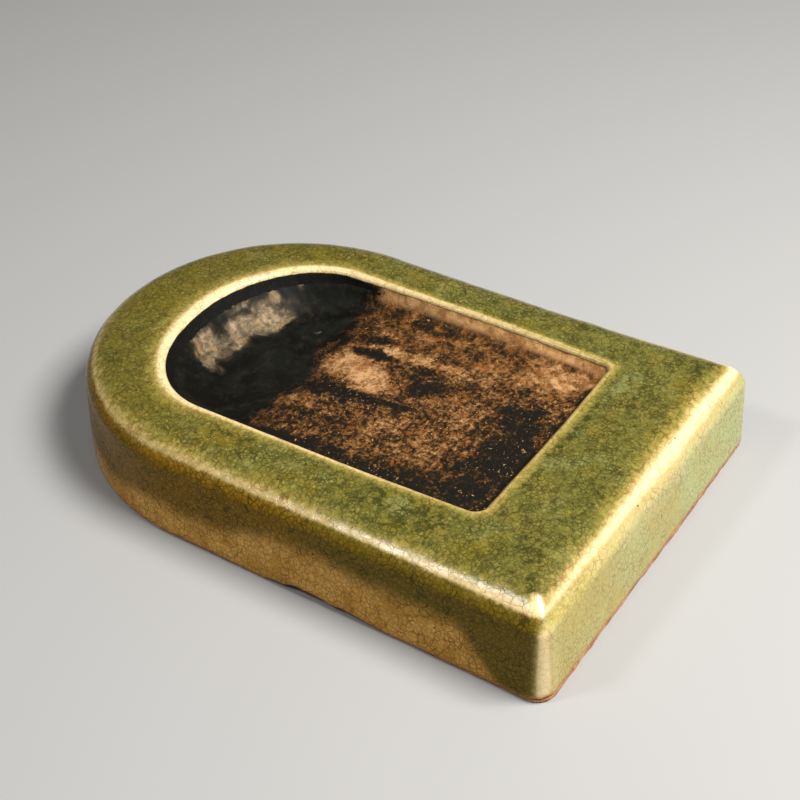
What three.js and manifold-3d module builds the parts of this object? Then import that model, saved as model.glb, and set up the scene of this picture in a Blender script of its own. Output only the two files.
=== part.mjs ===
// A ceramic inkstone for brush calligraphy, flat at one end and round at the other. It is one block
// of fired clay with a well in its top, which falls from a shallow grinding land to a deep ink sea.
// A coat of green glaze covers the rim and the outer walls, and old ink has dried in the sea.
//
// Millimetres, +Z up. The origin is the middle of the footprint, on the plane the block stands on.
// The flat end faces -Y and the round end faces +Y.

import * as THREE from 'three';
import { mergeVertices } from 'three/addons/utils/BufferGeometryUtils.js';
import Module from 'manifold-3d';

// ---- Driving dimensions ----

const LENGTH = 150;
const WIDTH = 98;
const HEIGHT = 24;
const ROUND_END = 52; // length of the half ellipse that closes the plan
const CORNER = 4; // plan radius of the two corners at the flat end
const LEAN = 1; // how far the walls lean in between the glaze's hem and the rim
const EDGE = 5.5; // radius of the rolled edge between the walls and the rim

const GLAZE = 1; // thickness of the glaze
const GAP = 0.3; // clearance between neighbouring solids
const HEM = 1.4; // height of the clay left bare under the glaze

const FOOT_RING = 9; // width of the ring that the block stands on
const FOOT_CHAMFER = 0.6;
const RECESS_DEPTH = 1.8; // how far the underside is cut back inside that ring
const RECESS_CORNER = 8;

const WELL_LENGTH = 97;
const WELL_WIDTH = 60.4;
const WELL_SHIFT = 0.3; // how far the well's middle lies towards the round end
const WELL_ROUND_END = 23;
const WELL_CORNER = 2.8;
const LIP = 0.8; // radius of the edge between the rim and the well's wall
const WALL_DROP = 2.4; // from the rim to where the well's wall starts to curve

const LAND_DEPTH = 3.5; // below the rim, at the flat end
const BROW_DEPTH = 4.6; // below the rim, where the floor starts to fall
const SEA_DEPTH = 9;
const BROW_Y = 2; // the floor falls from here
const SEA_Y = 32; // to here
const SIDE_COVE = 3; // run of the curve between the floor and the walls
const SEA_COVE = 12; // the same at the round end, where the wall is a long slope
const COVE_POWER = 2.2; // how hollow those curves are

const INK = 0.6; // thickness of the dried ink
const INK_SHORE_Y = 14; // where the ink ends on the slope
const INK_SHORE_WAVE = 3; // how far its edge wanders either way
const INK_TOP = 0.45; // how far down the cove its upper edge is, as a share of the cove

// ---- Plans and rings ----

// Every plan is a tongue: a flat end, two round corners, straight sides and a half ellipse.
const blockPlan = {
  halfWidth: WIDTH / 2,
  flatY: -LENGTH / 2,
  roundY: LENGTH / 2,
  roundEnd: ROUND_END,
  corner: CORNER,
};
const wellPlan = {
  halfWidth: WELL_WIDTH / 2,
  flatY: WELL_SHIFT - WELL_LENGTH / 2,
  roundY: WELL_SHIFT + WELL_LENGTH / 2,
  roundEnd: WELL_ROUND_END,
  corner: WELL_CORNER,
};
const footOfWellPlan = {
  halfWidth: wellPlan.halfWidth - SIDE_COVE,
  flatY: wellPlan.flatY + SIDE_COVE,
  roundY: wellPlan.roundY - SEA_COVE,
  roundEnd: WELL_ROUND_END - SIDE_COVE,
  corner: WELL_CORNER,
};

function drawnIn(plan, by) {
  return {
    halfWidth: plan.halfWidth - by,
    flatY: plan.flatY + by,
    roundY: plan.roundY - by,
    roundEnd: plan.roundEnd - by,
    corner: plan.corner * Math.exp(-by / plan.corner),
  };
}

const CORNER_STEPS = 5;
const SIDE_STEPS = 12;
const ROUND_STEPS = 14;

// The plan as points at one height, counter-clockwise from above. All rings have equally many
// points, and each point's mirror image across the YZ plane is as far from the list's other end.
function ring(plan, height) {
  const { halfWidth, flatY, roundY, roundEnd, corner } = plan;
  const shoulderY = roundY - roundEnd;
  const bend = new THREE.EllipseCurve(
    halfWidth - corner, flatY + corner, corner, corner, -Math.PI / 2, 0,
  );
  const side = new THREE.LineCurve(
    new THREE.Vector2(halfWidth, flatY + corner), new THREE.Vector2(halfWidth, shoulderY),
  );
  const crown = new THREE.EllipseCurve(0, shoulderY, halfWidth, roundEnd, 0, Math.PI / 2);
  const half = [
    ...bend.getPoints(CORNER_STEPS),
    ...side.getPoints(SIDE_STEPS).slice(1),
    ...crown.getPoints(ROUND_STEPS).slice(1),
  ].map(({ x, y }) => new THREE.Vector3(x, y, height));
  const mirrored = half.slice(0, -1).reverse().map(({ x, y, z }) => new THREE.Vector3(-x, y, z));
  return [...half, ...mirrored];
}

// A skin through rings of equally many points, facing out when the rings run up the outside and
// down the inside. A loop joins its last ring to its first. Otherwise strips from each point to its
// mirror image close the first ring from below and the last from above.
function loft(rings, isLoop = false) {
  const count = rings[0].length;
  const faces = [];
  const quad = (a, b, c, d) => faces.push(a, b, c, a, c, d);
  const at = (r, i) => (r % rings.length) * count + (i % count);
  const rows = isLoop ? rings.length : rings.length - 1;
  for (let r = 0; r < rows; r++) {
    for (let i = 0; i < count; i++) {
      quad(at(r, i), at(r, i + 1), at(r + 1, i + 1), at(r + 1, i));
    }
  }
  if (!isLoop) {
    const crown = (count - 1) / 2;
    const top = rings.length - 1;
    for (let i = 0; i < crown - 1; i++) {
      quad(at(0, count - 1 - i), at(0, count - 2 - i), at(0, i + 1), at(0, i));
      quad(at(top, i), at(top, i + 1), at(top, count - 2 - i), at(top, count - 1 - i));
    }
    faces.push(at(0, crown + 1), at(0, crown), at(0, crown - 1));
    faces.push(at(top, crown - 1), at(top, crown), at(top, crown + 1));
  }
  const geometry = new THREE.BufferGeometry().setFromPoints(rings.flat());
  geometry.setIndex(faces);
  return geometry;
}

// ---- The outside and the well ----

const EDGE_STEPS = 5;

// Rings up the wall and over the rolled edge, at a depth below the glaze's surface
function outsideRings(depth, bottom) {
  const wallAt = (height, inset) => {
    const lean = LEAN * (height - HEM) / (HEIGHT - HEM);
    return ring(drawnIn(blockPlan, inset + lean), height);
  };
  const rings = [wallAt(bottom, depth)];
  for (let step = 0; step <= EDGE_STEPS; step++) {
    const angle = (step / EDGE_STEPS) * (Math.PI / 2);
    const reach = EDGE - depth;
    rings.push(wallAt(HEIGHT - EDGE + reach * Math.sin(angle), EDGE - reach * Math.cos(angle)));
  }
  return rings;
}

// Rings over the lip, from the rim to the well's wall, at a depth below the glaze's surface
function lipRings(depth) {
  const rim = HEIGHT - depth;
  return [0, 0.5, 1].map((share) => {
    const angle = share * (Math.PI / 2);
    const outward = LIP * (1 - Math.sin(angle));
    return ring(drawnIn(wellPlan, -outward), rim - LIP * (1 - Math.cos(angle)));
  });
}

function floorHeight(y) {
  const land = THREE.MathUtils.mapLinear(y, wellPlan.flatY, BROW_Y, LAND_DEPTH, BROW_DEPTH);
  const fall = THREE.MathUtils.smoothstep(y, BROW_Y, SEA_Y);
  return HEIGHT - THREE.MathUtils.lerp(Math.min(land, BROW_DEPTH), SEA_DEPTH, fall);
}

// One ring of the cove, from share 0 at the wall to share 1 at the floor, lifted off the clay
function coveRing(share, lift = 0) {
  const wall = ring(wellPlan, HEIGHT - WALL_DROP);
  const foot = ring(footOfWellPlan, 0);
  return wall.map((high, i) => {
    const low = foot[i].setZ(floorHeight(foot[i].y));
    const drop = high.z - low.z;
    const inward = low.clone().sub(high).setZ(0);
    const run = inward.length();
    const steepness = COVE_POWER * drop * (1 - share) ** (COVE_POWER - 1);
    const normal = inward.normalize().multiplyScalar(steepness).setZ(run).normalize();
    return high.clone().lerp(low, share)
      .setZ(low.z + drop * (1 - share) ** COVE_POWER)
      .addScaledVector(normal, lift);
  });
}

// ---- Cutting ----

const wasm = await Module();
wasm.setup();

function toManifold(geometry) {
  const bare = geometry.clone().deleteAttribute('normal').deleteAttribute('uv');
  const merged = mergeVertices(bare);
  return new wasm.Manifold(new wasm.Mesh({
    numProp: 3,
    vertProperties: merged.attributes.position.array,
    triVerts: Uint32Array.from(merged.index.array),
  }));
}

function toGeometry(manifold) {
  const { vertProperties, triVerts } = manifold.getMesh();
  const geometry = new THREE.BufferGeometry();
  geometry.setAttribute('position', new THREE.BufferAttribute(vertProperties, 3));
  geometry.setIndex(new THREE.BufferAttribute(triVerts, 1));
  return geometry;
}

// ---- The sub-parts ----

// The solid block: a foot ring round a shallow recess, leaning walls, rolled edge, rim and well
function clayBody() {
  const skin = GLAZE + GAP;
  const recessPlan = { ...drawnIn(blockPlan, skin + FOOT_RING), corner: RECESS_CORNER };
  return loft([
    ring({ ...drawnIn(recessPlan, RECESS_DEPTH), corner: RECESS_CORNER }, RECESS_DEPTH),
    ring(recessPlan, 0),
    ring(drawnIn(blockPlan, skin + FOOT_CHAMFER), 0),
    ...outsideRings(skin, FOOT_CHAMFER),
    ...lipRings(skin),
    ...[0, 0.15, 0.35, 0.6, 1].map((share) => coveRing(share)),
  ]);
}

// The glaze is a shell over the wall, edge and rim, open over the well and over the bare foot
function glazeCoat() {
  const innerLip = ring(wellPlan, HEIGHT - GLAZE);
  return loft([
    ...outsideRings(0, HEM),
    ...lipRings(0),
    innerLip,
    ...outsideRings(GLAZE, HEM).reverse(),
  ], true);
}

// A thin cake of ink over the sea and part of its end wall, ending in a wandering shore
function driedInk() {
  const shares = [1, 0.8, 0.6, INK_TOP];
  const film = loft([
    ...shares.map((share) => coveRing(share, GAP)),
    ...shares.map((share) => coveRing(share, GAP + INK)).reverse(),
  ]);
  const reach = wellPlan.halfWidth;
  const shore = new THREE.SplineCurve([1, -0.4, -1, 0.8, 0].map((wave, i) => new THREE.Vector2(
    reach * (i / 2 - 1), INK_SHORE_Y + INK_SHORE_WAVE * wave,
  )));
  const overSea = new THREE.Shape([
    ...shore.getPoints(16),
    new THREE.Vector2(reach, wellPlan.roundY),
    new THREE.Vector2(-reach, wellPlan.roundY),
  ]);
  const prism = new THREE.ExtrudeGeometry(overSea, { depth: HEIGHT, bevelEnabled: false });
  return toGeometry(toManifold(film).intersect(toManifold(prism)));
}

const glazeMaterial = new THREE.MeshStandardMaterial({ color: 0x7d8348, roughness: 0.2, metalness: 0 });
const clayMaterial = new THREE.MeshStandardMaterial({ color: 0x7a5236, roughness: 0.85, metalness: 0 });
const inkMaterial = new THREE.MeshStandardMaterial({ color: 0x1f2225, roughness: 0.5, metalness: 0 });

function part(name, geometry, material) {
  const mesh = new THREE.Mesh(geometry, material);
  mesh.name = name;
  return mesh;
}

const inkstone = new THREE.Group();
inkstone.add(
  part('clay_body', clayBody(), clayMaterial),
  part('glaze_coat', glazeCoat(), glazeMaterial),
  part('dried_ink', driedInk(), inkMaterial),
);

export default inkstone;
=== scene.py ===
"""The looks of a green-glazed ceramic inkstone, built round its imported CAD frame.

Shapes are worked out in millimetres, in the frame's own axes: the origin is the middle of the
footprint, +Y runs towards the round end and +Z is up. They turn into metres when a mesh is made.
"""

import math
from collections import namedtuple
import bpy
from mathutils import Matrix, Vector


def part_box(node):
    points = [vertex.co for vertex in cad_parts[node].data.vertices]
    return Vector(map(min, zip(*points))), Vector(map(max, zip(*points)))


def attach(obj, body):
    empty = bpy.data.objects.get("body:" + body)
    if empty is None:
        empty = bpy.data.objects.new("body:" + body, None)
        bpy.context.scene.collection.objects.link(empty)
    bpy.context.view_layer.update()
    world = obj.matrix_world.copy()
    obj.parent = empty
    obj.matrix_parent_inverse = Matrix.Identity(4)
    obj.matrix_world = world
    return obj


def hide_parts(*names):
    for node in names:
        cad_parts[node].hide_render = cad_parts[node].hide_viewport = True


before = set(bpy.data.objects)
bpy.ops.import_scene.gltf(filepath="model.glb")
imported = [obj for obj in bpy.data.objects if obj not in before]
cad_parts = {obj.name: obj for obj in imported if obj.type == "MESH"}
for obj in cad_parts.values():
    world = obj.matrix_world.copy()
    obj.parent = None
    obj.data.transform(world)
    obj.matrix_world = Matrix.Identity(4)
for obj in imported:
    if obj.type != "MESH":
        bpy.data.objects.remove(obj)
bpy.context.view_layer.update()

from types import SimpleNamespace

import bmesh
import bpy
import numpy as np
from mathutils import Matrix, Vector, noise

MM = 0.001

# ---- Driving dimensions, in millimetres ----

glaze_low, glaze_high = (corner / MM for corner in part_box("glaze_coat"))
LENGTH = glaze_high.y - glaze_low.y
WIDTH = glaze_high.x - glaze_low.x
HEIGHT = glaze_high.z
FOOT_RING = 10.3  # from the outside wall to the recess in the underside

# bow: how far the sides swell at their middle; taper: how much wider each side is at the flat end;
# shift: how far the plan stands off the block's middle line
Plan = namedtuple("Plan", "half_width flat_y round_y round_end corner bow taper shift")
BLOCK = Plan(WIDTH / 2, -LENGTH / 2, LENGTH / 2, 52, 3.7, -0.7, 0, 0)
WELL = Plan(30.2, -48.0, 49.0, 24, 2.8, 0.4, -0.7, 0.7)
WELL_FOOT = Plan(26.4, -45.0, 36.0, 20, 3.6, 0.4, -0.7, 0.4)
RECESS = Plan(WIDTH / 2 - FOOT_RING, FOOT_RING - LENGTH / 2, LENGTH / 2 - FOOT_RING, 42, 8, 0, 0, 0)

LEAN = 1.0  # how far the walls lean in between the hem and the rim
EDGE_REACH = 8.0  # how far the rolled edge between the wall and the rim reaches in
EDGE_DROP = 6.5  # and how far down
LIP = 1.2  # radius of the edge between the rim and the well
HEM = 1.0  # height from which the walls lean
GLAZE = 1.0  # thickness of the glaze
CLAY_DEPTH = 1.3  # from the glaze's surface to the clay
FOOT_INSET = 0.25  # how far the bare foot stands back from the glaze's surface
RECESS_DEPTH = 1.8

LAND_DEPTH = 3.5  # below the rim, at the flat end
BROW_DEPTH = 4.6  # below the rim, where the floor starts to fall
SEA_DEPTH = 9.0
BROW_Y = 2.0  # the floor falls from here
SEA_Y = 32.0  # to here
COVE_POWER = 2.2  # how hollow the curve between the floor and the walls is
SPINE_Y = (-20, 15)  # the ends of the middle line that a level surface's rings shrink to

# ---- Camera ----

CAMERA_AZIMUTH = -54.46
CAMERA_ELEVATION = 37.8
CAMERA_ROLL = -3.0
CAMERA_DISTANCE = 382.7
CAMERA_AIM = Vector((5.0, -5.1, 13.6))
CAMERA_LENS = 73.35


def direction(azimuth, elevation):
    """A unit vector from the inkstone. Azimuth 0 is towards -Y and 90 towards +X."""
    turn, rise = math.radians(azimuth), math.radians(elevation)
    return Vector((math.sin(turn) * math.cos(rise), -math.cos(turn) * math.cos(rise), math.sin(rise)))


def make_camera():
    back = direction(CAMERA_AZIMUTH, CAMERA_ELEVATION)
    data = bpy.data.cameras.new("camera")
    data.lens = CAMERA_LENS
    data.sensor_width = 36
    data.clip_start = 0.01
    camera = bpy.data.objects.new("camera", data)
    camera.location = (CAMERA_AIM + back * CAMERA_DISTANCE) * MM
    level = (-back).to_track_quat("-Z", "Y").to_matrix()
    camera.rotation_euler = (level @ Matrix.Rotation(math.radians(CAMERA_ROLL), 3, "Z")).to_euler()
    bpy.context.scene.collection.objects.link(camera)
    bpy.context.scene.camera = camera


make_camera()

# ---- Rings of points round a plan ----

FLAT_STEPS, CORNER_STEPS, SIDE_STEPS, ROUND_STEPS = 150, 24, 150, 260
RING_STEPS = FLAT_STEPS + 2 * CORNER_STEPS + 2 * SIDE_STEPS + ROUND_STEPS
FIRST_ROUND = FLAT_STEPS + CORNER_STEPS + SIDE_STEPS

# Eight stations round a ring, counter-clockwise from above: the middle of the flat end, the +X corner,
# side and shoulder, the round end, and the -X shoulder, side and corner
STATIONS = (
    FLAT_STEPS / 2,
    FLAT_STEPS + CORNER_STEPS / 2,
    FLAT_STEPS + CORNER_STEPS + SIDE_STEPS / 2,
    FIRST_ROUND + ROUND_STEPS / 4,
    FIRST_ROUND + ROUND_STEPS / 2,
    FIRST_ROUND + ROUND_STEPS * 3 / 4,
    FIRST_ROUND + ROUND_STEPS + SIDE_STEPS / 2,
    RING_STEPS - CORNER_STEPS / 2,
)

# Hand-made unevenness and wear, with one value for each station

# How far the rim, the base and the well's outline stand in, in millimetres
RIM_DRAWN_IN = (0.0, 0.5, 1.0, 1.3, 1.6, 1.5, -0.4, -0.4)
BASE_DRAWN_IN = (0.0, 0.9, 0.5, 0.8, 1.6, 1.1, -0.9, -0.7)
WELL_DRAWN_IN = (0.0, 0.8, 0.2, 0.2, -0.2, -1.2, -0.4, 0.0)
# How square the rolled edge is, as the power of a superellipse, and how far it sags
EDGE_POWER = (2.3, 2.2, 2.1, 2.1, 2.2, 2.5, 3.1, 2.5)
RIM_DROOP = (0.8, 0.8, 0.3, 0.3, 0.5, 1.2, 2.3, 3.0)
# How far the glaze is thin above and below the ridge, and how thin it is there
RIDGE_THIN_ABOVE = (5.0, 4.4, 2.0, 2.0, 2.4, 3.8, 4.2, 4.6)
RIDGE_THIN_BELOW = (6.5, 5.0, 1.8, 1.6, 1.6, 2.0, 1.0, 1.6)
RIDGE_THINNESS = (0.95, 1.0, 0.5, 0.4, 0.4, 0.5, 0.64, 0.8)
# The same beside the lip
LIP_THIN = (1.2, 1.2, 1.2, 2.4, 3.8, 2.8, 1.8, 1.4)
LIP_THINNESS = (0.45, 0.5, 0.72, 0.92, 1.0, 0.9, 0.72, 0.5)


def around(values):
    """Values that pass smoothly through one value at each station, for every point of a ring."""
    steps = np.arange(RING_STEPS)
    stations = np.array(STATIONS)
    after = np.searchsorted(stations, steps) % len(stations)
    start, end = stations[after - 1], stations[after]
    share = ((steps - start) % RING_STEPS) / ((end - start) % RING_STEPS)
    share = share * share * (3 - 2 * share)
    values = np.array(values)
    return values[after - 1] * (1 - share) + values[after] * share


def drawn_in(plan, by):
    """The plan with all its walls moved in."""
    return plan._replace(
        half_width=plan.half_width - by,
        flat_y=plan.flat_y + by,
        round_y=plan.round_y - by,
        round_end=plan.round_end - by,
        corner=plan.corner * math.exp(-by / plan.corner),
    )


def tongue(plan):
    """Points round a plan, counter-clockwise from above: the flat end, corner, side, half ellipse, side
    and corner."""
    wide, corner = plan.half_width, plan.corner
    shoulder = plan.round_y - plan.round_end
    bend_y = plan.flat_y + corner

    def line(start, end, steps):
        share = np.arange(steps)[:, None] / steps
        return np.array(start) * (1 - share) + np.array(end) * share

    def arc(centre, reach_x, reach_y, start, end, steps):
        angle = np.radians(start + (end - start) * np.arange(steps) / steps)
        return np.c_[centre[0] + reach_x * np.cos(angle), centre[1] + reach_y * np.sin(angle)]

    points = np.concatenate([
        line((corner - wide, plan.flat_y), (wide - corner, plan.flat_y), FLAT_STEPS),
        arc((wide - corner, bend_y), corner, corner, -90, 0, CORNER_STEPS),
        line((wide, bend_y), (wide, shoulder), SIDE_STEPS),
        arc((0, shoulder), wide, plan.round_end, 0, 180, ROUND_STEPS),
        line((-wide, shoulder), (-wide, bend_y), SIDE_STEPS),
        arc((corner - wide, bend_y), corner, corner, 180, 270, CORNER_STEPS),
    ])
    along = np.clip((points[:, 1] - plan.flat_y) / (shoulder - plan.flat_y), 0, 1)
    points[:, 0] *= 1 + (4 * plan.bow * along * (1 - along) + plan.taper * (1 - along)) / wide
    points[:, 0] += plan.shift
    return points


def row(plan, height):
    """One ring of 3-D points; height is a number or one number per point."""
    points = tongue(plan)
    return np.c_[points, np.broadcast_to(height, len(points))]


def mix_rows(first, second, share):
    share = np.reshape(share, (-1, 1))
    return first * (1 - share) + second * share


def smoothstep(value, low, high):
    share = np.clip((value - low) / (high - low), 0, 1)
    return share * share * (3 - 2 * share)


def noise_at(points, size, octaves=1, seed=0):
    """Smooth noise, about -1 to 1, with features about size wide."""
    offset = Vector((seed * 31.7, seed * 17.9, seed * 5.3))
    return np.array([
        noise.fractal(Vector(point) / size + offset, 1.0, 2.0, octaves) for point in points
    ])


def pushed_in(points, by, ring):
    """Points moved in along the normals of a ring."""
    along = np.roll(ring, -1, axis=0)[:, :2] - np.roll(ring, 1, axis=0)[:, :2]
    along /= np.linalg.norm(along, axis=1)[:, None]
    return points + np.c_[-along[:, 1] * by, along[:, 0] * by, np.zeros(len(points))]


def well_row(by=0.0, height=0.0):
    """The well's outline, moved in by this much, with its unevenness."""
    points = row(drawn_in(WELL, by), height)
    return pushed_in(points, around(WELL_DRAWN_IN), points)


def outside_row(height, inset=0):
    """A ring inside the outside wall, at this height, with the wall's lean and unevenness."""
    height = np.broadcast_to(height, RING_STEPS)
    lean = LEAN * (float(np.mean(height)) - HEM) / (HEIGHT - HEM)
    outer, inner = row(drawn_in(BLOCK, lean), height), row(drawn_in(BLOCK, lean + EDGE_REACH), height)
    points = mix_rows(outer, inner, np.broadcast_to(inset, RING_STEPS) / EDGE_REACH)
    rise = height / HEIGHT
    return pushed_in(points, around(BASE_DRAWN_IN) * (1 - rise) + around(RIM_DRAWN_IN) * rise, outer)


# ---- From rings to meshes ----

def make_mesh(name, rows, is_loop=False, attributes=None):
    """A mesh through rings of equally many points. A loop's last ring joins its first one; otherwise
    the first and last rings have shrunk to a line, and their doubled points are merged."""
    rings = len(rows)
    r = np.arange(rings if is_loop else rings - 1)[:, None]
    i = np.arange(RING_STEPS)[None, :]
    here, above = r * RING_STEPS, (r + 1) % rings * RING_STEPS
    after = (i + 1) % RING_STEPS
    faces = np.stack([here + i, here + after, above + after, above + i], axis=-1).reshape(-1, 4)
    mesh = bpy.data.meshes.new(name)
    mesh.from_pydata((np.concatenate(rows) * MM).tolist(), [], faces.tolist())
    for key, values in (attributes or {}).items():
        layer = mesh.attributes.new(key, "FLOAT", "POINT")
        layer.data.foreach_set("value", np.asarray(values, dtype=np.float32))
    if not is_loop:
        work = bmesh.new()
        work.from_mesh(mesh)
        bmesh.ops.remove_doubles(work, verts=work.verts, dist=0.002 * MM)
        work.to_mesh(mesh)
        work.free()
    mesh.validate()
    mesh.shade_smooth()
    return mesh


def add_piece(name, mesh, material, node):
    piece = bpy.data.objects.new(name, mesh)
    bpy.context.scene.collection.objects.link(piece)
    piece.data.materials.append(material)
    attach(piece, "root")
    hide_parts(node)


def coordinates(mesh):
    values = np.zeros(len(mesh.vertices) * 3, np.float32)
    mesh.vertices.foreach_get("co", values)
    return values.reshape(-1, 3).astype(float) / MM


def attribute_values(mesh, key):
    values = np.zeros(len(mesh.vertices), np.float32)
    mesh.attributes[key].data.foreach_get("value", values)
    return values


def displace(mesh, amount):
    """Moves every vertex along its normal by its own amount."""
    normals = np.zeros(len(mesh.vertices) * 3, np.float32)
    mesh.vertex_normals.foreach_get("vector", normals)
    points = coordinates(mesh) + normals.reshape(-1, 3) * amount[:, None]
    mesh.vertices.foreach_set("co", (points * MM).astype(np.float32).ravel())
    mesh.update()


# ---- The base edge, which the clay and the glaze share ----

CHIP_Y = -20.0  # a stretch of the base edge on the -X side is broken away
CHIP_REACH = 17.0
CHIP_RISE = 1.7
CHIP_DEPTH = 3.2
LIFTED_X = -40.0  # at the flat end, the glaze has lifted off the foot near the -X corner
LIFTED_REACH = 24.0
LIFTED_RISE = 0.35
LIFTED_DEPTH = 1.3
BARE_SIDES = 0.55  # how much clay the glaze leaves bare along the sides
BARE_FLAT_END = 0.85  # how much more at the flat end
BARE_THICKEST = 0.35  # and how much more still round this place there
BARE_THICKEST_X = 12.0
BARE_LIMITS = (0.3, 2.2)


def chip(points):
    """How much of the base edge is broken away, from 0 to 1 and here and there a little more."""
    ragged = 1 + 0.5 * noise_at(points, 5, 2, seed=3)
    near = 1 - smoothstep(np.abs(points[:, 1] - CHIP_Y), 2, CHIP_REACH)
    return np.where(points[:, 0] < -WIDTH / 4, np.clip(near * ragged, 0, 1.2), 0)


def flat_end(points, reach=4.0):
    """1 on the flat end's wall, falling to 0 this far along the sides."""
    return 1 - smoothstep(points[:, 1] + LENGTH / 2, 1, 1 + reach)


def lifted(points):
    near = 1 - smoothstep(np.abs(points[:, 0] - LIFTED_X), LIFTED_REACH * 0.6, LIFTED_REACH)
    return near * flat_end(points, 5) * smoothstep(noise_at(points, 4, 2, seed=20), -0.35, 0.1)


def hem_height(points):
    """Where the glaze ends above the base."""
    ragged = 0.22 * noise_at(points, 9, 3, seed=1) + 0.12 * noise_at(points, 1.5, 2, seed=2)
    from_thickest = np.abs(points[:, 0] - BARE_THICKEST_X)
    at_flat_end = BARE_FLAT_END + BARE_THICKEST * (1 - smoothstep(from_thickest, 14, 30))
    height = BARE_SIDES + at_flat_end * flat_end(points) + LIFTED_RISE * lifted(points) + ragged
    return np.clip(height, *BARE_LIMITS) + CHIP_RISE * chip(points)


def lip_raggedness(points):
    return 0.16 * noise_at(points, 2.2, 2, seed=4)


def lumps(points):
    """The unevenness of the clay's surface, which the ink on it follows."""
    return 0.10 * noise_at(points, 4.5, 3, seed=16)


# ---- Blotches, seen from above ----

# A soft spot round a place, with how far it reaches each way and how strong it is
Blotch = namedtuple("Blotch", "x y reach_x reach_y amount")


def blotches(points, spots):
    total = np.zeros(len(points))
    for spot in spots:
        away = np.hypot((points[:, 0] - spot.x) / spot.reach_x, (points[:, 1] - spot.y) / spot.reach_y)
        total += spot.amount * (1 - smoothstep(away, 0.4, 1.3))
    return total


# ---- The glaze coat ----

WALL_ROWS, EDGE_ROWS, RIM_ROWS, LIP_ROWS = 26, 34, 26, 8
FOLD, WALL, EDGE, RIM, LIP_TURN, INSIDE = range(6)
HEM_ROW = 2  # the last ring of the fold round the hem

# Where the green pools darker
POOLS = [
    Blotch(-36, -26, 4, 6, 0.5), Blotch(-37, -38, 4.5, 7, 0.7), Blotch(-35, -62, 6, 5, 0.6),
    Blotch(-41, -68, 3.5, 2.5, 0.7), Blotch(4, -51.5, 9, 1.8, 0.9), Blotch(-14, -52, 5, 1.6, 0.5),
    Blotch(40, -66, 5, 6, 0.6), Blotch(41, -28, 2.5, 16, 0.4), Blotch(20, -60, 5, 5, 0.3),
    Blotch(-34, 14, 3, 9, 0.4), Blotch(-22, 54, 8, 5, 0.4), Blotch(-10, -66, 8, 3, 0.3),
]
# Where it clouds to a bluish celadon
CLOUDS = [
    Blotch(-36, -32, 5, 6, 0.25), Blotch(-33, -57, 6, 5, 0.1), Blotch(-4, -56, 12, 4, 0.3),
    Blotch(24, -55, 9, 5, 0.35), Blotch(-38, -12, 3, 6, 0.3), Blotch(38, -52, 5, 7, 0.3),
]
# A painted highlight on the rim near the -X corner, put into the thin-glaze mask so that it shows cream
PAINTED_CORNER_HIGHLIGHT = [Blotch(-44.4, -70.2, 2.8, 2.4, 0.85)]
CORNER_INSET = 0.6  # how far inside the plan the middle of a corner's thin glaze is


def edge_height_and_inset(share, reach, drop):
    """A point on the rounded edge between the wall, at 0, and the rim, at 1."""
    power = 2 / around(EDGE_POWER)
    angle = share * math.pi / 2
    rise, out = math.sin(angle) ** power, math.cos(angle) ** power
    droop = around(RIM_DROOP) * rise * out ** 1.5
    return HEIGHT - EDGE_DROP + drop * rise - droop, reach * (1 - out)


def glaze_rows():
    """The glaze coat's rings, each with its kind, from the hem up over the rim to the lip and back inside."""
    hem = hem_height(outside_row(0))
    shoulder = HEIGHT - EDGE_DROP
    rows = [
        (FOLD, outside_row(hem + 0.25, 0.6)),
        (FOLD, outside_row(hem, 0.3)),
        (FOLD, outside_row(hem + 0.06, 0.08)),
    ]
    for share in np.linspace(0, 1, WALL_ROWS):
        rows.append((WALL, outside_row(hem + 0.3 + (shoulder - hem - 0.3) * share)))
    for share in np.linspace(0, 1, EDGE_ROWS + 1)[1:]:
        height, inset = edge_height_and_inset(share, EDGE_REACH, EDGE_DROP)
        rows.append((EDGE, outside_row(height, inset)))
    outer, inner = rows[-1][1], well_row(-LIP, HEIGHT)
    for share in np.linspace(0, 1, RIM_ROWS + 1)[1:]:
        rows.append((RIM, mix_rows(outer, inner, share)))
    ragged = lip_raggedness(well_row())
    for share in np.linspace(0, 1, LIP_ROWS + 1)[1:]:
        angle = share * math.pi / 2
        height = HEIGHT - (LIP + ragged) * (1 - math.cos(angle))
        rows.append((LIP_TURN, well_row(-LIP * (1 - math.sin(angle)), height)))
    rows += [
        (INSIDE, well_row(-0.4, HEIGHT - LIP + 0.15 - ragged)),
        (INSIDE, well_row(-LIP - 0.3, HEIGHT - GLAZE)),
    ]
    for share in (1, 0.75, 0.5, 0.25, 0):
        height, inset = edge_height_and_inset(share, EDGE_REACH - GLAZE, EDGE_DROP - GLAZE)
        rows.append((INSIDE, outside_row(height, inset + GLAZE)))
    rows.append((INSIDE, outside_row(hem + 3, GLAZE)))
    return rows


def travel_from(rows, start):
    """How far every point is from the start ring, measured up the profile; negative below it."""
    steps = [np.linalg.norm(rows[n + 1] - rows[n], axis=1) for n in range(len(rows) - 1)]
    total = np.concatenate([[np.zeros(RING_STEPS)], np.cumsum(steps, axis=0)])
    return total - total[start]


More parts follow.
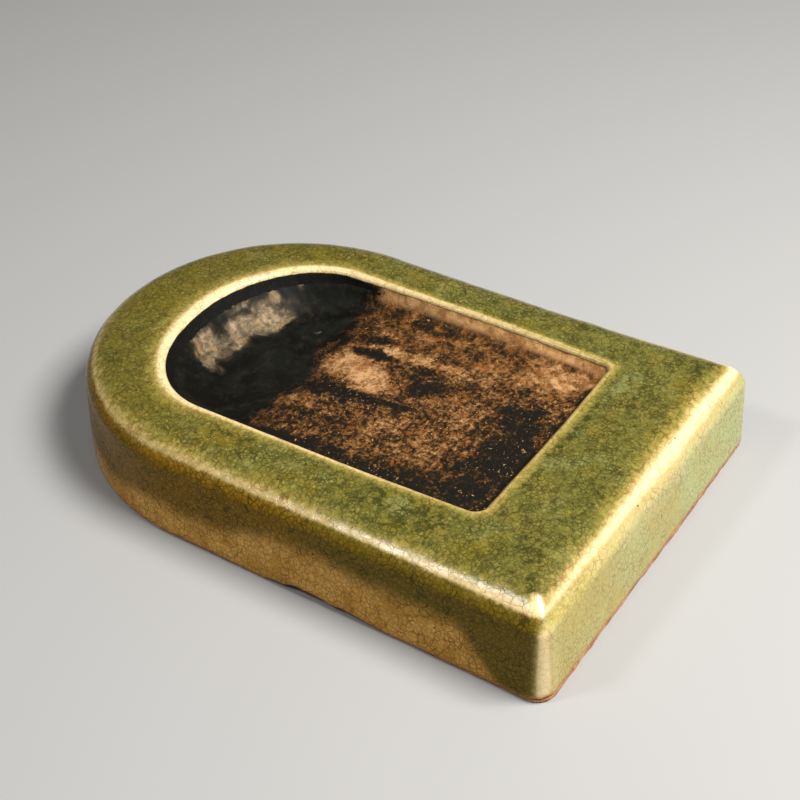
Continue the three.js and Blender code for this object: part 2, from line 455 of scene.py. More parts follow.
def thin_glaze(points, from_ridge, from_lip, shaded):
    """How thin the glaze is near the ridge, the lip and the corners, with a painted highlight at the -X
    corner of the rim added in, and the paler halo round that.
    """

    def along(values):
        return np.tile(around(values), len(points) // RING_STEPS)

    x, y, _ = points.T
    wander = noise_at(points, 12, 3, seed=6)
    ridge_thinness = along(RIDGE_THINNESS)
    above, below = along(RIDGE_THIN_ABOVE), along(RIDGE_THIN_BELOW)
    ridge_reach = np.where(from_ridge > 0, above, below) * (1 + 0.4 * wander)
    lip_reach = along(LIP_THIN) * (1 + 0.3 * wander)
    corner_reach = 1.3 + 2.5 * flat_end(points, 2) + 0.5 * wander
    from_corner = np.minimum.reduce([
        np.hypot(x - side * (WIDTH / 2 - CORNER_INSET), y + LENGTH / 2 - CORNER_INSET) for side in (-1, 1)
    ])
    below_rim = from_ridge < 1

    ridge_thin = (1 - smoothstep(np.abs(from_ridge), 0, ridge_reach)) ** 1.3 * ridge_thinness
    lip_thin = (1 - smoothstep(-from_lip, 0.1 * lip_reach, lip_reach)) * along(LIP_THINNESS)
    corner_thin = np.maximum(
        1 - smoothstep(from_corner, 0.2, 1.7), 0.9 * (1 - smoothstep(from_corner, 0.8, corner_reach)),
    ) * below_rim
    # painted highlight: a cream patch on the rim at the -X corner standing in for the key light's reflection
    painted_corner_highlight = blotches(points, PAINTED_CORNER_HIGHLIGHT) * (from_ridge > -1)

    ridge_halo = (1 - smoothstep(np.abs(from_ridge), 0, 1.9 * ridge_reach)) * (0.5 + 0.5 * ridge_thinness)
    lip_halo = 1 - smoothstep(-from_lip, 0, 2.4 * lip_reach + 1)
    corner_halo = 0.8 * (1 - smoothstep(from_corner, 0.8, 2.2 * corner_reach)) * below_rim
    faded = 1 - 0.5 * shaded
    thin = np.maximum.reduce([ridge_thin, lip_thin, corner_thin, painted_corner_highlight])
    halo = np.maximum.reduce([ridge_halo * faded, lip_halo, corner_halo * faded])
    return thin, halo


def straw_height(points):
    """The height up to which the glaze on the -X wall is straw-coloured."""
    y = points[:, 1]
    height = 12.6 + 1.5 * np.sin(y / 19 + 1.2) + 1.4 * noise_at(points, 16, 3, seed=8)
    return height - (6 * smoothstep(y, -10, 10) + 13 * smoothstep(-y, 53, 69))


def glaze_attributes(rows, kinds):
    """Where the glaze is thin and how its colour changes, as masks from 0 to about 1 for every point."""
    points = np.concatenate(rows)
    x, y, z = points.T
    ridge, lip = kinds.index(EDGE) + EDGE_ROWS // 2, kinds.index(LIP_TURN)
    from_hem, from_ridge, from_lip = (travel_from(rows, start).ravel() for start in (HEM_ROW, ridge, lip))
    side = smoothstep(-x, 8, 26) * (1 - flat_end(points, 3))
    shaded = side * (1 - smoothstep(from_ridge, -1.4, 0.2))
    thin, halo = thin_glaze(points, from_ridge, from_lip, shaded)
    straw_top = straw_height(points)
    return {
        # the thin mask also carries the painted highlight at the -X corner
        "thin": thin,
        "halo": halo,
        "straw": (1 - smoothstep(z, straw_top - 3.2, straw_top + 3.2)) * side,
        "shaded": shaded,
        "pale": flat_end(points, 3) * (1 - smoothstep(z, HEIGHT - 2, HEIGHT - 0.2)),
        "warm": smoothstep(y, -45, 60),
        "cool": smoothstep(x, -40, 45),
        "pool": blotches(points, POOLS),
        "cloud": blotches(points, CLOUDS),
        "hem": (np.repeat(kinds, RING_STEPS) < EDGE) * (1 - smoothstep(from_hem, 0.1, 1.3)),
    }


def make_glaze():
    kinds, rows = zip(*glaze_rows())
    attributes = glaze_attributes(rows, kinds)
    mesh = make_mesh("glaze_coat", rows, is_loop=True, attributes=attributes)
    points = coordinates(mesh)
    waves = 0.10 * noise_at(points, 10, 2, seed=13) + 0.025 * noise_at(points, 2.2, 2, seed=14)
    kind = np.repeat(kinds, RING_STEPS)
    displace(mesh, np.where((kind > FOLD) & (kind < LIP_TURN), waves, 0))
    add_piece("glaze_shell", mesh, glaze_material(), "glaze_coat")


# ---- The well's surface ----

FLOOR_ROWS = 84
COVE_SHARES = np.linspace(0, 1, 21) ** 1.3


def floor_height(y):
    along = np.clip((y - WELL.flat_y) / (BROW_Y - WELL.flat_y), 0, 1)
    land = LAND_DEPTH + (BROW_DEPTH - LAND_DEPTH) * along
    fall = smoothstep(y, BROW_Y, SEA_Y)
    return HEIGHT - (land * (1 - fall) + SEA_DEPTH * fall)


def well_rows():
    """Rings down the wall, round the cove and in over the floor to its middle line."""
    wall, foot = well_row(), row(WELL_FOOT, 0)
    foot[:, 2] = floor_height(foot[:, 1])
    top = HEIGHT - LIP - 0.05 - lip_raggedness(wall)
    rows = []
    for share in COVE_SHARES:
        points = mix_rows(wall, foot, share)
        points[:, 2] = foot[:, 2] + (top - foot[:, 2]) * (1 - share) ** COVE_POWER
        rows.append(points)
    spine = foot.copy()
    spine[:, 0] = WELL_FOOT.shift
    spine[:, 1] = np.clip(foot[:, 1], *SPINE_Y)
    for share in np.linspace(0, 1, FLOOR_ROWS + 1)[1:]:
        points = mix_rows(foot, spine, share)
        points[:, 2] = floor_height(points[:, 1])
        rows.append(points)
    return rows


# ---- The clay body ----

def clay_rows():
    """The clay body's rings, from the middle of its underside round to the middle of the well."""
    base = outside_row(0)
    hem, broken, gap = hem_height(base), chip(base), lifted(base)
    ragged = 0.15 * noise_at(base, 4, 3, seed=9)
    middle = row(drawn_in(RECESS, 2.4), RECESS_DEPTH)
    middle[:, 0] = 0
    middle[:, 1] = np.clip(middle[:, 1], *SPINE_Y)
    set_back = FOOT_INSET + CHIP_DEPTH * np.clip(broken, 0, 1)
    groove = FOOT_INSET + 0.2 + LIFTED_DEPTH * gap + CHIP_DEPTH * np.clip(broken, 0, 1)
    shoulder = HEIGHT - EDGE_DROP
    rows = [
        middle,
        row(drawn_in(RECESS, 2.2), RECESS_DEPTH),
        row(drawn_in(RECESS, 1.2), RECESS_DEPTH - 0.4),
        row(drawn_in(RECESS, 0.3), 0.5),
        row(drawn_in(RECESS, -0.3), 0),
        outside_row(0, set_back + 0.7 + ragged),
        outside_row(0.1, set_back + 0.25 + ragged),
        outside_row(0.3, set_back + 0.05 + ragged),
        outside_row(np.maximum(hem * 0.62, 0.4), set_back + ragged * 0.5),
        outside_row(np.maximum(hem * 0.75, 0.45), groove),
        outside_row(hem + 0.15, groove),
        outside_row(hem + 4, CLAY_DEPTH),
        outside_row(shoulder, CLAY_DEPTH),
        outside_row(HEIGHT - EDGE_DROP * 0.5, EDGE_REACH * 0.35),
        outside_row(HEIGHT - CLAY_DEPTH, EDGE_REACH),
        well_row(-LIP - 0.6, HEIGHT - CLAY_DEPTH),
        well_row(-0.6, HEIGHT - LIP - 0.15),
    ]
    first_well_row = len(rows)
    return rows + well_rows(), first_well_row


# ---- Stains in the well, with a painted glint and a painted shadow ----

# How much paler or darker than bare clay the floor is round a place
WORN_PATCH = [
    Blotch(5, 8, 5, 9, 0.42), Blotch(1, 0, 4, 6, 0.38), Blotch(8.5, 12, 2.5, 5, 0.18),
    Blotch(13.5, -7, 2.2, 13, 0.32), Blotch(12.8, 5, 1.6, 6, 0.26),
]
SPECKLED_AND_GLINT = [
    Blotch(2, -25, 5, 11, 0.12), Blotch(-12, -20, 6, 16, 0.12), Blotch(-11.5, 11, 3, 6, 0.2),
    # the last blotch here, at (22, -40), is a painted highlight: an orange glint on the floor
    Blotch(17, -25, 4, 12, 0.1), Blotch(24, -38, 6, 10, 0.25), Blotch(22, -40, 2, 2.5, 0.4),
]
DARK = [
    Blotch(10.8, 6, 1.7, 7, -0.5), Blotch(16.5, 8, 2.0, 6, -0.4), Blotch(6, -12.5, 4, 6.5, -0.36),
    Blotch(-4, -2, 1.7, 15, -0.42), Blotch(-6.5, 9, 2.8, 6, -0.4), Blotch(6, -37, 5, 6.5, -0.32),
    Blotch(-5, -40, 9, 7, -0.36), Blotch(-16, -40, 8, 9, -0.28), Blotch(-24, -34, 5, 17, -0.28),
    Blotch(-26, -5, 4, 26, -0.3), Blotch(-16, 4, 5, 9, -0.12), Blotch(27, 0, 3, 18, -0.1),
    # the first blotch here is painted shadow, with dark ink, along the foot of the flat end's wall
    Blotch(0, -47.5, 40, 2.4, -0.45), Blotch(-26, 10, 3, 16, -0.3),
]
# Where the dried ink on the end wall is scuffed
SCUFFS = [
    Blotch(-6, 43, 4.5, 4, 0.9), Blotch(-8.5, 39.5, 2.5, 3, 0.8), Blotch(0, 42, 5, 2.5, 0.6),
    Blotch(6, 43, 4, 2.5, 0.7), Blotch(12, 40, 6, 4.5, 0.9), Blotch(15, 36.5, 4, 2.5, 0.8),
    Blotch(17.5, 41, 2.5, 2, 0.8), Blotch(25, 37, 1.4, 1.4, 0.8), Blotch(14.4, 25.7, 1, 1.3, 0.8),
    Blotch(10, 46.5, 6, 1.3, 0.6), Blotch(3, 43, 17, 5, 0.22), Blotch(19, 34, 4, 4, 0.2),
]
# The edge of the dried ink across the floor, from the -X side to the +X side
INK_SHORE = [(-30, 17), (-22, 15), (-14, 15), (-4, 11), (2, 15), (8, 18), (14, 16), (20, 15), (30, 18)]


def past_shore(points):
    """How far points are past the edge of the dried ink, in millimetres."""
    shore_x, shore_y = np.array(INK_SHORE).T
    shore = np.interp(points[:, 0], shore_x, shore_y)
    return points[:, 1] - shore + 2.6 * noise_at(points, 9, 4, seed=10)


def stains_and_painted_light(points):
    warp = np.c_[noise_at(points, 7, 3, seed=11), noise_at(points, 7, 3, seed=12), np.zeros(len(points))]
    moved = points + 2.2 * warp
    far_side = smoothstep(points[:, 0], 12, 20)
    # tone: stains, with the painted glint and the painted shadow in it
    tone = 0.425 + blotches(moved, WORN_PATCH + SPECKLED_AND_GLINT + DARK) + 0.06 * far_side
    tone += 0.10 * noise_at(points, 6, 3, seed=19)
    calm = np.maximum(far_side * 0.6, smoothstep(blotches(moved, WORN_PATCH), 0.1, 0.4) * 0.45)
    return {
        "ink": smoothstep(past_shore(points), -5, 8),
        "tone": tone,
        "calm": calm,
        "scuff": np.clip(blotches(moved, SCUFFS), 0, 1),
    }


def make_clay():
    rows, first_well_row = clay_rows()
    points = np.concatenate(rows)
    in_well = np.repeat(np.arange(len(rows)) >= first_well_row, RING_STEPS)
    wall = np.zeros(len(rows))
    wall[first_well_row:first_well_row + len(COVE_SHARES)] = 1 - smoothstep(COVE_SHARES, 0.12, 0.55)
    wall = np.repeat(wall, RING_STEPS) * (1 - 0.3 * smoothstep(points[:, 1], -28, 15))
    attributes = {**stains_and_painted_light(points), "well": in_well, "wall": wall}
    mesh = make_mesh("clay_body", rows, attributes=attributes)
    points, roughened = coordinates(mesh), attribute_values(mesh, "well")
    grit = 0.05 * noise_at(points, 1.0, 3, seed=15) + lumps(points)
    displace(mesh, grit * (0.5 + 0.5 * roughened))
    add_piece("clay_block", mesh, clay_material(), "clay_body")


# ---- The dried ink ----

INK_FILM = 0.2  # how far the film stands above the clay
INK_UNDER = 0.22  # how far it dips below the clay, past its shore
INK_HIDDEN = -0.12  # faces that lie lower than this are left out
INK_SKIRT = 0.35  # thickness of the film


def make_ink():
    """A film over the sea and the end wall that dips under the clay at its shore."""
    rows = well_rows()[2:]
    points = np.concatenate(rows)
    below_lip = np.repeat(smoothstep(np.arange(len(rows)), 0, 5), RING_STEPS)
    cover = smoothstep(past_shore(points), -0.5, 3.5) * below_lip
    lift = (INK_FILM + INK_UNDER) * cover - INK_UNDER + 0.04 * noise_at(points, 1.2, 3, seed=18)
    mesh = make_mesh("dried_ink", rows, attributes={"lift": lift, **stains_and_painted_light(points)})
    lift = attribute_values(mesh, "lift")
    displace(mesh, lumps(coordinates(mesh)) + lift)
    work = bmesh.new()
    work.from_mesh(mesh)
    layer = work.verts.layers.float["lift"]
    hidden = [face for face in work.faces if all(vert[layer] < INK_HIDDEN for vert in face.verts)]
    bmesh.ops.delete(work, geom=hidden, context="FACES")
    bmesh.ops.solidify(work, geom=work.faces[:], thickness=INK_SKIRT * MM)
    work.to_mesh(mesh)
    work.free()
    mesh.shade_smooth()
    add_piece("ink_cake", mesh, ink_material(), "dried_ink")


# ---- Material helpers ----

class Nodes:
    """Builds one material's node tree. Sizes are in millimetres."""

    def __init__(self, name):
        self.material = bpy.data.materials.new(name)
        self.material.use_nodes = True
        self.tree = self.material.node_tree
        self.shader = self.tree.nodes["Principled BSDF"]

    def add(self, kind, settings=None, **inputs):
        node = self.tree.nodes.new(kind)
        for key, value in (settings or {}).items():
            setattr(node, key, value)
        for key, value in inputs.items():
            self.feed(node.inputs[key.replace("_", " ")], value)
        return node

    def feed(self, socket, value):
        if isinstance(value, bpy.types.NodeSocket):
            self.tree.links.new(value, socket)
        elif isinstance(value, tuple) and socket.type == "RGBA":
            socket.default_value = (*value, 1)
        else:
            socket.default_value = value

    def attribute(self, name):
        return self.add("ShaderNodeAttribute", {"attribute_name": name}).outputs["Fac"]

    def attributes(self, names):
        """The named attributes, as a namespace."""
        return SimpleNamespace(**{name: self.attribute(name) for name in names.split()})

    def place(self):
        return self.add("ShaderNodeTexCoord").outputs["Object"]

    def noise(self, vector, size, detail=2.0, roughness=0.5, distortion=0.0):
        """Noise with features about this size, from 0 to 1."""
        return self.add(
            "ShaderNodeTexNoise", Vector=vector, Scale=1 / (size * MM), Detail=detail,
            Roughness=roughness, Distortion=distortion,
        ).outputs["Fac"]

    def cells(self, vector, size, feature):
        return self.add("ShaderNodeTexVoronoi", {"feature": feature}, Vector=vector, Scale=1 / (size * MM))

    def edges(self, vector, size):
        return self.cells(vector, size, "DISTANCE_TO_EDGE").outputs["Distance"]

    def ramp(self, value, low, high, start=0.0, end=1.0):
        node = self.add("ShaderNodeMapRange", {"interpolation_type": "SMOOTHSTEP"})
        values = {"Value": value, "From Min": low, "From Max": high, "To Min": start, "To Max": end}
        for key, number in values.items():
            self.feed(node.inputs[key], number)
        return node.outputs["Result"]

    def maths(self, operation, first, second=0.0, clamp=False):
        node = self.add("ShaderNodeMath", {"operation": operation, "use_clamp": clamp})
        self.feed(node.inputs[0], first)
        self.feed(node.inputs[1], second)
        return node.outputs[0]

    def times(self, first, second):
        return self.maths("MULTIPLY", first, second)

    def plus(self, first, second, clamp=False):
        return self.maths("ADD", first, second, clamp)

    def mix(self, share, first, second):
        node = self.add("ShaderNodeMix", {"data_type": "RGBA"})
        for index, value in ((0, share), (6, first), (7, second)):
            self.feed(node.inputs[index], value)
        return node.outputs[2]

    def scale(self, value, stops):
        """A colour from a scale of (position, colour) stops."""
        node = self.add("ShaderNodeValToRGB", Fac=value)
        band = node.color_ramp.elements
        while len(band) < len(stops):
            band.new(0.5)
        for element, (position, colour) in zip(band, stops):
            element.position = position
            element.color = (*colour, 1)
        return node.outputs["Color"]

    def bump(self, height, strength, distance, normal=None):
        node = self.add("ShaderNodeBump", Height=height, Strength=strength, Distance=distance * MM)
        if normal is not None:
            self.feed(node.inputs["Normal"], normal)
        return node.outputs["Normal"]

    def warped(self, vector, size, amount):
        """The vector, pushed about by noise, so that cells get uneven sides."""
        push = self.add("ShaderNodeTexNoise", Vector=vector, Scale=1 / (size * MM)).outputs["Color"]
        centred = self.add("ShaderNodeVectorMath", {"operation": "SUBTRACT"})
        self.feed(centred.inputs[0], push)
        self.feed(centred.inputs[1], (0.5, 0.5, 0.5))
        scaled = self.add("ShaderNodeVectorMath", {"operation": "SCALE"}, Scale=amount * MM)
        self.feed(scaled.inputs[0], centred.outputs[0])
        total = self.add("ShaderNodeVectorMath", {"operation": "ADD"})
        self.feed(total.inputs[0], vector)
        self.feed(total.inputs[1], scaled.outputs[0])
        return total.outputs[0]

    def inked(self, place, ink):
        """How black the ink has stained a place; the film and the clay beside it share this."""
        ragged = self.ramp(self.noise(place, 2.2, 7, 0.78), 0.25, 0.75, -0.6, 0.6)
        return self.ramp(self.plus(ink, ragged), 0.12, 0.70)

    def shade(self, **inputs):
        for key, value in inputs.items():
            self.feed(self.shader.inputs[key.replace("_", " ")], value)
        return self.material


# ---- The glaze's material ----

WIDE_CELL, SMALL_CELL = 1.9, 1.1  # sizes of the crackle's cells

# The rim's green at the flat end and at the round end, and the tones that cloud, pale or deepen it
GREEN_FLAT_END, GREEN_ROUND_END = (0.124, 0.116, 0.022), (0.165, 0.122, 0.010)
CELADON, AMBER, GREEN_FAR = (0.200, 0.205, 0.070), (0.195, 0.136, 0.022), (0.085, 0.070, 0.006)
PALE_CELL, GRIT = (0.21, 0.180, 0.032), (0.35, 0.30, 0.085)
CELL_EDGE, DARK_POOL = (0.040, 0.040, 0.005), (0.030, 0.032, 0.005)
# The flat end's wall towards -X and towards +X, and the -X wall near the flat end, further on and low down
PALE_NEAR, PALE_FAR, PALE_EDGE = (0.455, 0.375, 0.110), (0.43, 0.465, 0.185), (0.20, 0.17, 0.045)
BROWN_NEAR, BROWN_FAR, BROWN_EDGE = (0.165, 0.108, 0.010), (0.235, 0.118, 0.008), (0.08, 0.045, 0.003)
STRAW, DEEP_STRAW, STRAW_EDGE = (0.68, 0.385, 0.095), (0.48, 0.25, 0.042), (0.26, 0.12, 0.015)
# Thinner glaze: a veil over the green, the pale wall and the -X wall, then tan, then cream
VEIL, PALE_VEIL, BROWN_VEIL = (0.30, 0.25, 0.052), (0.55, 0.49, 0.23), (0.27, 0.225, 0.10)
TAN, CREAM, HEM_BROWN = (0.52, 0.38, 0.16), (0.83, 0.68, 0.37), (0.42, 0.19, 0.06)
# The stain in the crackle where the glaze is dark, light or thin
DARK_CRACK, LIGHT_CRACK, THIN_CRACK = (0.030, 0.028, 0.004), (0.17, 0.080, 0.018), (0.45, 0.27, 0.10)
PINHOLE = (0.02, 0.012, 0.005)

# How strong the crackle's wide and small cracks are, its darker cell edges, and a tone for each cell
Crackle = namedtuple("Crackle", "wide small edges cells")


def glaze_crackle(nodes, place):
    uneven = nodes.warped(place, 3, 1.3)
    wide_edge = nodes.edges(uneven, WIDE_CELL)
    small_edge = nodes.edges(nodes.warped(place, 1.5, 0.8), SMALL_CELL)
    return Crackle(
        wide=nodes.ramp(wide_edge, 0.01, 0.075, 1.0, 0.0),
        small=nodes.ramp(small_edge, 0.01, 0.10, 1.0, 0.0),
        edges=nodes.ramp(small_edge, 0.0, 0.32, 1.0, 0.0),
        cells=nodes.cells(uneven, WIDE_CELL, "F1").outputs["Color"],
    )


def rim_green(nodes, place, masks):
    """The green, yellower towards the round end, with celadon and amber clouds."""
    drift = nodes.ramp(nodes.noise(place, 17, 4, 0.6), 0.38, 0.64, -0.35, 0.6)
    turn = nodes.ramp(nodes.plus(nodes.times(masks.warm, 0.8), drift), 0, 1)
    colour = nodes.mix(turn, GREEN_FLAT_END, GREEN_ROUND_END)
    drift = nodes.ramp(nodes.noise(place, 8, 4, 0.62, 0.4), 0.40, 0.66, -0.35, 0.55)
    celadon = nodes.ramp(nodes.plus(masks.cloud, drift), 0.1, 1.0, 0.0, 0.85)
    colour = nodes.mix(celadon, colour, CELADON)
    amber = nodes.times(nodes.ramp(nodes.noise(place, 12, 4, 0.6), 0.50, 0.68), 0.6)
    return nodes.mix(amber, colour, AMBER)


def mottled(nodes, place, masks, crackle, colour):
    """The green, dark where it pools and at the cells' edges, and pale over grit."""
    colour = nodes.mix(nodes.ramp(crackle.cells, 0.3, 0.8, 0.0, 0.25), colour, PALE_CELL)
    patchy = nodes.ramp(nodes.noise(place, 5, 4, 0.6), 0.42, 0.62, 0.10, 0.65)
    colour = nodes.mix(nodes.times(crackle.edges, patchy), colour, CELL_EDGE)
    ragged = nodes.ramp(nodes.noise(place, 1.9, 7, 0.75), 0.38, 0.64, -0.55, 0.75)
    depth = nodes.ramp(nodes.plus(nodes.times(masks.pool, 0.8), ragged), 0.0, 1.05, 0.0, 0.9)
    colour = nodes.mix(depth, colour, DARK_POOL)
    grit = nodes.ramp(nodes.noise(place, 0.9, 5, 0.75), 0.54, 0.68, 0.0, 0.8)
    grit = nodes.times(grit, nodes.ramp(masks.warm, 0.0, 0.3, 0.6, 1.0))
    colour = nodes.mix(grit, colour, GRIT)
    return nodes.mix(nodes.ramp(masks.warm, 0.55, 1.0, 0.0, 0.42), colour, GREEN_FAR)


def with_walls(nodes, place, masks, crackle, colour):
    """Pale celadon on the flat end's wall, brown on the -X wall and straw below it."""
    drift = nodes.ramp(nodes.noise(place, 9, 4), 0.35, 0.65, -0.2, 0.35)
    turn = nodes.ramp(nodes.plus(nodes.times(masks.cool, 0.8), drift), 0, 1)
    pale = nodes.mix(turn, PALE_NEAR, PALE_FAR)
    pale = nodes.mix(nodes.times(crackle.edges, 0.22), pale, PALE_EDGE)
    colour = nodes.mix(masks.pale, colour, pale)
    brown = nodes.mix(nodes.ramp(masks.warm, 0, 0.35), BROWN_NEAR, BROWN_FAR)
    brown = nodes.mix(nodes.times(crackle.edges, 0.5), brown, BROWN_EDGE)
    colour = nodes.mix(nodes.times(masks.shaded, 0.9), colour, brown)
    straw = nodes.mix(nodes.ramp(nodes.noise(place, 5, 5, 0.62), 0.36, 0.66), STRAW, DEEP_STRAW)
    straw = nodes.mix(nodes.times(crackle.edges, 0.30), straw, STRAW_EDGE)
    return nodes.mix(masks.straw, colour, straw)


def with_thin_glaze(nodes, place, masks, colour):
    """The colour where thinner glaze lets the pale body through, cream also on the painted highlight at the
    -X corner, and how strong the veil there is.
    """
    ragged = nodes.ramp(nodes.noise(place, 1.6, 6, 0.7), 0.3, 0.7, -0.26, 0.26)
    veil = nodes.times(nodes.ramp(nodes.plus(masks.halo, ragged), 0.15, 1.1), 0.8)
    veil_tone = nodes.mix(masks.shaded, nodes.mix(masks.pale, VEIL, PALE_VEIL), BROWN_VEIL)
    colour = nodes.mix(veil, colour, veil_tone)
    bare = nodes.ramp(nodes.plus(masks.thin, nodes.times(ragged, 0.8)), 0.10, 0.95)
    colour = nodes.mix(bare, colour, nodes.mix(nodes.ramp(masks.thin, 0.55, 1.0), TAN, CREAM))
    return nodes.mix(nodes.times(masks.hem, 0.8), colour, HEM_BROWN), veil


def with_cracks(nodes, place, masks, crackle, veil, colour):
    """The crackle, stained brown, and a few pinholes."""
    light = nodes.plus(nodes.plus(masks.thin, veil), nodes.plus(masks.straw, masks.pale), clamp=True)
    stain = nodes.mix(light, DARK_CRACK, LIGHT_CRACK)
    stain = nodes.mix(nodes.ramp(masks.thin, 0.3, 0.9), stain, THIN_CRACK)
    strength = nodes.ramp(masks.pale, 0, 1, 1.0, 0.62)
    some = nodes.ramp(nodes.noise(place, 6, 3, 0.6), 0.38, 0.60)
    others = nodes.ramp(nodes.noise(place, 4, 3, 0.6), 0.40, 0.58)
    for cracks, share in (
        (crackle.wide, nodes.ramp(some, 0, 1, 0.25, 0.75)),
        (crackle.small, nodes.ramp(others, 0, 1, 0.10, 0.5)),
    ):
        colour = nodes.mix(nodes.times(nodes.times(cracks, share), strength), colour, stain)
    pits = nodes.cells(place, 7, "F1").outputs["Distance"]
    return nodes.mix(nodes.ramp(pits, 0.03, 0.05, 0.85, 0.0), colour, PINHOLE)


def glaze_material():
    nodes = Nodes("green_glaze")
    place = nodes.place()
    masks = nodes.attributes("thin halo straw shaded pale hem warm cool pool cloud")
    crackle = glaze_crackle(nodes, place)
    colour = mottled(nodes, place, masks, crackle, rim_green(nodes, place, masks))
    colour = with_walls(nodes, place, masks, crackle, colour)
    colour, veil = with_thin_glaze(nodes, place, masks, colour)
    colour = with_cracks(nodes, place, masks, crackle, veil, colour)
    normal = nodes.bump(nodes.noise(place, 2.2, 3, 0.5), 0.25, 0.2)
    normal = nodes.bump(crackle.wide, 0.3, -0.03, normal)
    rough = nodes.ramp(nodes.noise(place, 5, 4, 0.6), 0.3, 0.7, 0.14, 0.24)
    # The walls reflect a floor that is paler than the photo's, so their gloss is lower
    gloss = nodes.ramp(nodes.plus(masks.shaded, nodes.times(masks.pale, 0.5)), 0, 1, 0.3, 0.05)
    return nodes.shade(Base_Color=colour, Roughness=rough, Normal=normal, Specular_IOR_Level=gloss)


# ---- The clay's and the ink's materials ----

# From inky clay to bare clay
FLOOR_TONES = [
    (0.12, (0.008, 0.007, 0.005)), (0.32, (0.020, 0.011, 0.005)), (0.46, (0.062, 0.028, 0.008)),
    (0.62, (0.150, 0.068, 0.020)), (0.80, (0.290, 0.150, 0.058)), (1.0, (0.46, 0.265, 0.120)),
]
RUST, FLECK, STAINED = (0.165, 0.052, 0.009), (0.50, 0.29, 0.115), (0.0045, 0.0045, 0.0035)
WALL_PALE, WALL_DARK = (0.68, 0.39, 0.155), (0.28, 0.13, 0.042)
FOOT_PALE, FOOT_DARK, FOOT_SPECK = (0.55, 0.27, 0.11), (0.30, 0.13, 0.05), (0.10, 0.045, 0.02)
MATT = 0.08  # specular level of the clay and the ink

INK_BLACK, INK_SMEAR = (0.0035, 0.0035, 0.0025), (0.008, 0.0085, 0.0065)
INK_EDGE, DUST, HAZE = (0.060, 0.028, 0.009), (0.05, 0.036, 0.02), (0.19, 0.14, 0.08)
SCUFF_PALE, SCUFF_DARK, SCUFF_RUST = (0.42, 0.31, 0.18), (0.12, 0.09, 0.055), (0.34, 0.19, 0.08)


def well_clay(nodes, place, streaked, masks, grain, medium):
    """Bare clay in the well, with rubbed, rusty, flecked and inky places, and the painted glint and painted
    shadow that the tone mask carries.
    """
    contrast = nodes.ramp(masks.calm, 0, 1, 3.0, 1.3)
    swing = nodes.times(nodes.plus(grain, -0.5), contrast)
    level = nodes.plus(nodes.plus(masks.tone, swing), nodes.times(nodes.plus(medium, -0.5), 1.3))
    colour = nodes.scale(level, FLOOR_TONES)
    rusty = nodes.ramp(nodes.noise(place, 3.0, 4, 0.6), 0.48, 0.66, 0.0, 0.65)
    colour = nodes.mix(nodes.times(rusty, nodes.ramp(level, 0.30, 0.55)), colour, RUST)
    fleck = nodes.ramp(nodes.noise(streaked, 0.75, 3, 0.6), 0.635, 0.70, 0.0, 0.85)
    fleck = nodes.times(fleck, nodes.ramp(nodes.noise(place, 6, 3), 0.40, 0.60, 0.15, 1.0))
    colour = nodes.mix(fleck, colour, FLECK)
    wall = nodes.mix(nodes.ramp(medium, 0.38, 0.64), WALL_PALE, WALL_DARK)
    wall_share = nodes.times(masks.wall, nodes.ramp(masks.ink, 0.1, 0.5, 0.85, 0.0))
    return nodes.mix(nodes.inked(place, masks.ink), nodes.mix(wall_share, colour, wall), STAINED)


def foot_clay(nodes, place, medium):
    """Clean fired clay, as on the foot and the underside."""
    colour = nodes.mix(nodes.ramp(medium, 0.35, 0.66), FOOT_PALE, FOOT_DARK)
    return nodes.mix(nodes.ramp(nodes.noise(place, 0.7, 4, 0.7), 0.56, 0.7), colour, FOOT_SPECK)


def clay_material():
    nodes = Nodes("fired_clay")
    place = nodes.place()
    masks = nodes.attributes("ink tone calm well wall")
    streaked = nodes.warped(place, 2, 1.4)
    grain = nodes.noise(streaked, 1.1, 8, 0.76)
    medium = nodes.noise(place, 4.0, 5, 0.65)
    in_well = well_clay(nodes, place, streaked, masks, grain, medium)
    colour = nodes.mix(masks.well, foot_clay(nodes, place, medium), in_well)
    normal = nodes.bump(nodes.plus(grain, nodes.times(medium, 0.8)), 0.6, 0.3)
    rough = nodes.ramp(grain, 0.3, 0.7, 0.5, 0.75)
    return nodes.shade(Base_Color=colour, Roughness=rough, Normal=normal, Specular_IOR_Level=MATT)


def scuffed(nodes, place, scuff, colour):
    """The ink where it is hazed and rubbed off the end wall."""
    rubbed = nodes.ramp(nodes.noise(place, 3.6, 8, 0.72, 0.6), 0.2, 0.8, -0.95, 0.95)
    haze = nodes.ramp(nodes.plus(scuff, nodes.times(rubbed, 0.4)), 0.0, 1.2, 0.0, 0.36)
    colour = nodes.mix(haze, colour, HAZE)
    share = nodes.times(nodes.plus(scuff, rubbed), nodes.ramp(scuff, 0, 0.7))
    tone = nodes.mix(nodes.ramp(nodes.noise(place, 1.4, 6, 0.7), 0.36, 0.66), SCUFF_PALE, SCUFF_DARK)
    tone = nodes.mix(nodes.ramp(nodes.noise(place, 3, 3), 0.52, 0.66, 0.0, 0.7), tone, SCUFF_RUST)
    return nodes.mix(nodes.ramp(share, 0.2, 1.9, 0.0, 0.9), colour, tone)


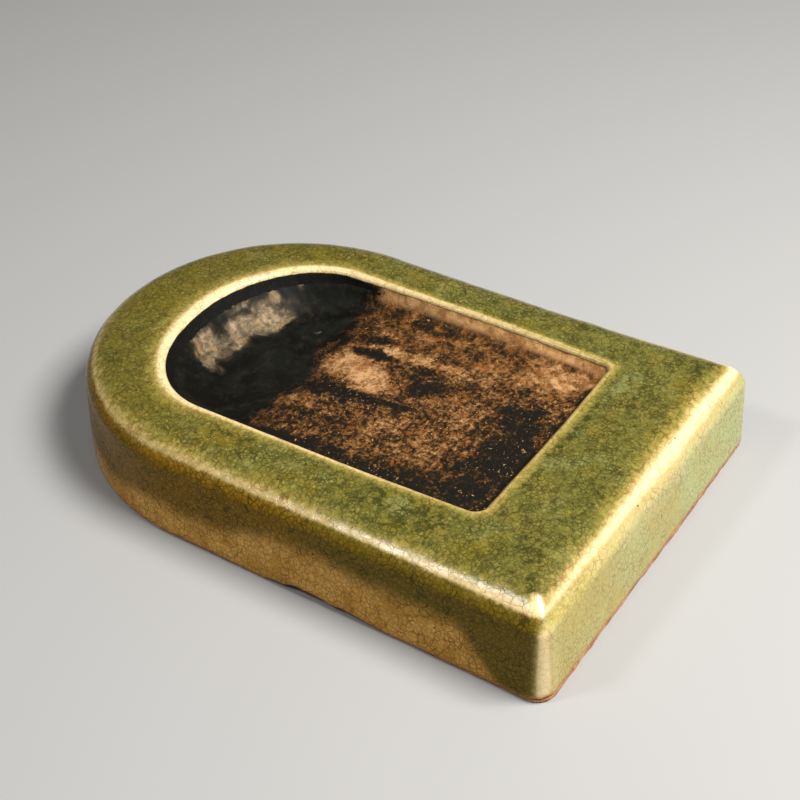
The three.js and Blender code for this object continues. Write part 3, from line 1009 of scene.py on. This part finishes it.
def ink_material():
    nodes = Nodes("dried_ink")
    place = nodes.place()
    masks = nodes.attributes("scuff ink")
    smear = nodes.noise(place, 9, 5, 0.6, 0.8)
    colour = nodes.mix(nodes.ramp(smear, 0.38, 0.66), INK_BLACK, INK_SMEAR)
    dust = nodes.ramp(nodes.noise(place, 0.9, 6, 0.75), 0.62, 0.80)
    colour = nodes.mix(nodes.times(dust, 0.15), colour, DUST)
    colour = nodes.mix(nodes.inked(place, masks.ink), INK_EDGE, colour)
    colour = scuffed(nodes, place, masks.scuff, colour)
    normal = nodes.bump(nodes.noise(place, 1.6, 5, 0.6), 0.3, 0.15)
    rough = nodes.ramp(smear, 0.35, 0.7, 0.45, 0.65)
    return nodes.shade(Base_Color=colour, Roughness=rough, Normal=normal, Specular_IOR_Level=MATT)


# ---- Floor and light ----

FLOOR_REACH = 4.0  # metres
FLOOR_TONE = (0.36, 0.358, 0.354)
WORLD_STRENGTH = 0.17

# A soft area light that faces the inkstone, in degrees, metres and watts
Softbox = namedtuple("Softbox", "name azimuth elevation distance size power colour")
SOFTBOXES = [
    Softbox("key", 10, 56, 0.62, (0.28, 0.22), 6.8, (1.0, 0.975, 0.94)),
    Softbox("back", -124, 53.5, 0.82, (0.12, 0.14), 1.7, (1.0, 1.0, 1.0)),
]


def make_floor():
    corners = [(x * FLOOR_REACH, y * FLOOR_REACH, 0) for x, y in ((-1, -1), (1, -1), (1, 1), (-1, 1))]
    mesh = bpy.data.meshes.new("floor")
    mesh.from_pydata(corners, [], [(0, 1, 2, 3)])
    mesh.materials.append(Nodes("floor").shade(Base_Color=FLOOR_TONE, Roughness=0.9))
    floor = bpy.data.objects.new("floor", mesh)
    bpy.context.scene.collection.objects.link(floor)


def add_softbox(box):
    back = direction(box.azimuth, box.elevation)
    data = bpy.data.lights.new(box.name, "AREA")
    data.shape = "RECTANGLE"
    data.size, data.size_y = box.size
    data.energy = box.power
    data.color = box.colour
    light = bpy.data.objects.new(box.name, data)
    light.location = back * box.distance
    light.rotation_euler = (-back).to_track_quat("-Z", "Y").to_euler()
    bpy.context.scene.collection.objects.link(light)


def make_light():
    for box in SOFTBOXES:
        add_softbox(box)
    world = bpy.data.worlds.new("studio")
    world.use_nodes = True
    background = world.node_tree.nodes["Background"]
    background.inputs["Color"].default_value = (1.0, 1.0, 1.0, 1)
    background.inputs["Strength"].default_value = WORLD_STRENGTH
    bpy.context.scene.world = world


make_glaze()
make_clay()
make_ink()
make_floor()
make_light()
bpy.context.scene.view_settings.view_transform = "Standard"
